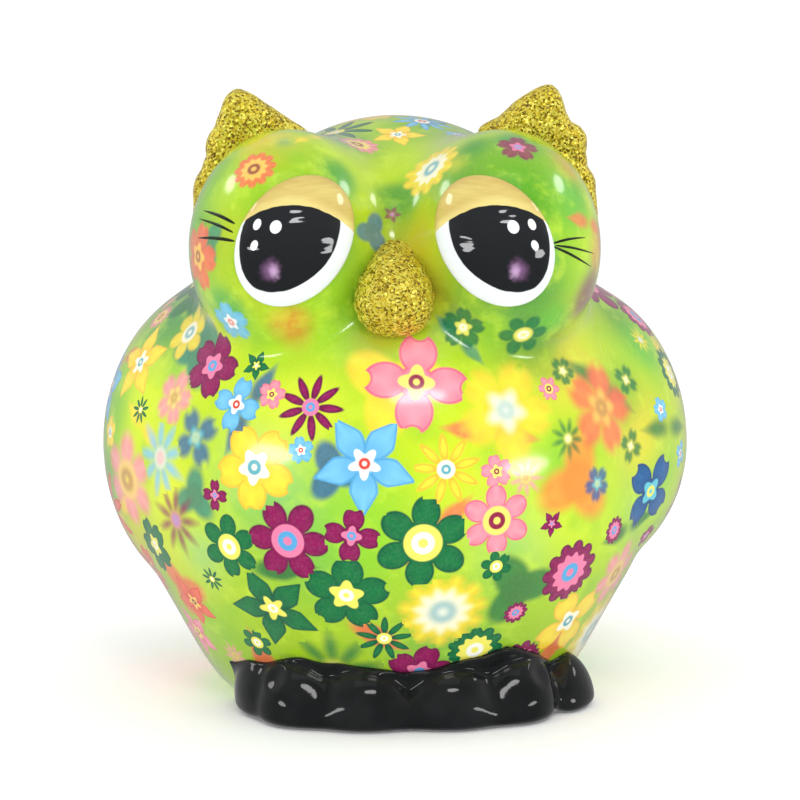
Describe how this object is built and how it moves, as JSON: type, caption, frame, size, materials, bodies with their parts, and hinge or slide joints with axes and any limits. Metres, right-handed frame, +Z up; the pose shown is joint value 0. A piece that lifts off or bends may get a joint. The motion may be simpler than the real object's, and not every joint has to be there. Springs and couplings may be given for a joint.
{
  "type": "animal money bank",
  "caption": "Hollow glazed owl money bank with a coin slot in the back of its head and a pull-out rubber stopper underneath",
  "frame": {"origin": "centre of the standing ring, in the plane of the table", "axes": "the owl looks along -Y, +X is the owl's own left, +Z is up"},
  "size_m": [0.1524, 0.14, 0.1568],
  "materials": {
    "lime_glaze": "gloss",
    "eye_enamel": "gloss",
    "gold_glitter": "gloss",
    "black_glaze": "gloss",
    "stopper_rubber": "matte"
  },
  "bodies": {
    "owl": {"body_shell": "lime_glaze", "wing_left": "lime_glaze", "wing_right": "lime_glaze", "eye_left": "eye_enamel", "eye_right": "eye_enamel", "beak": "gold_glitter", "ear_tuft_left": "gold_glitter", "ear_tuft_right": "gold_glitter", "foot_left": "black_glaze", "foot_right": "black_glaze"},
    "stopper": {"stopper": "stopper_rubber"}
  },
  "joints": [
    {"name": "stopper_pull", "type": "slide", "parent": "owl", "child": "stopper", "axis": [0, 0, -1], "range_m": [0, 0.03]}
  ]
}
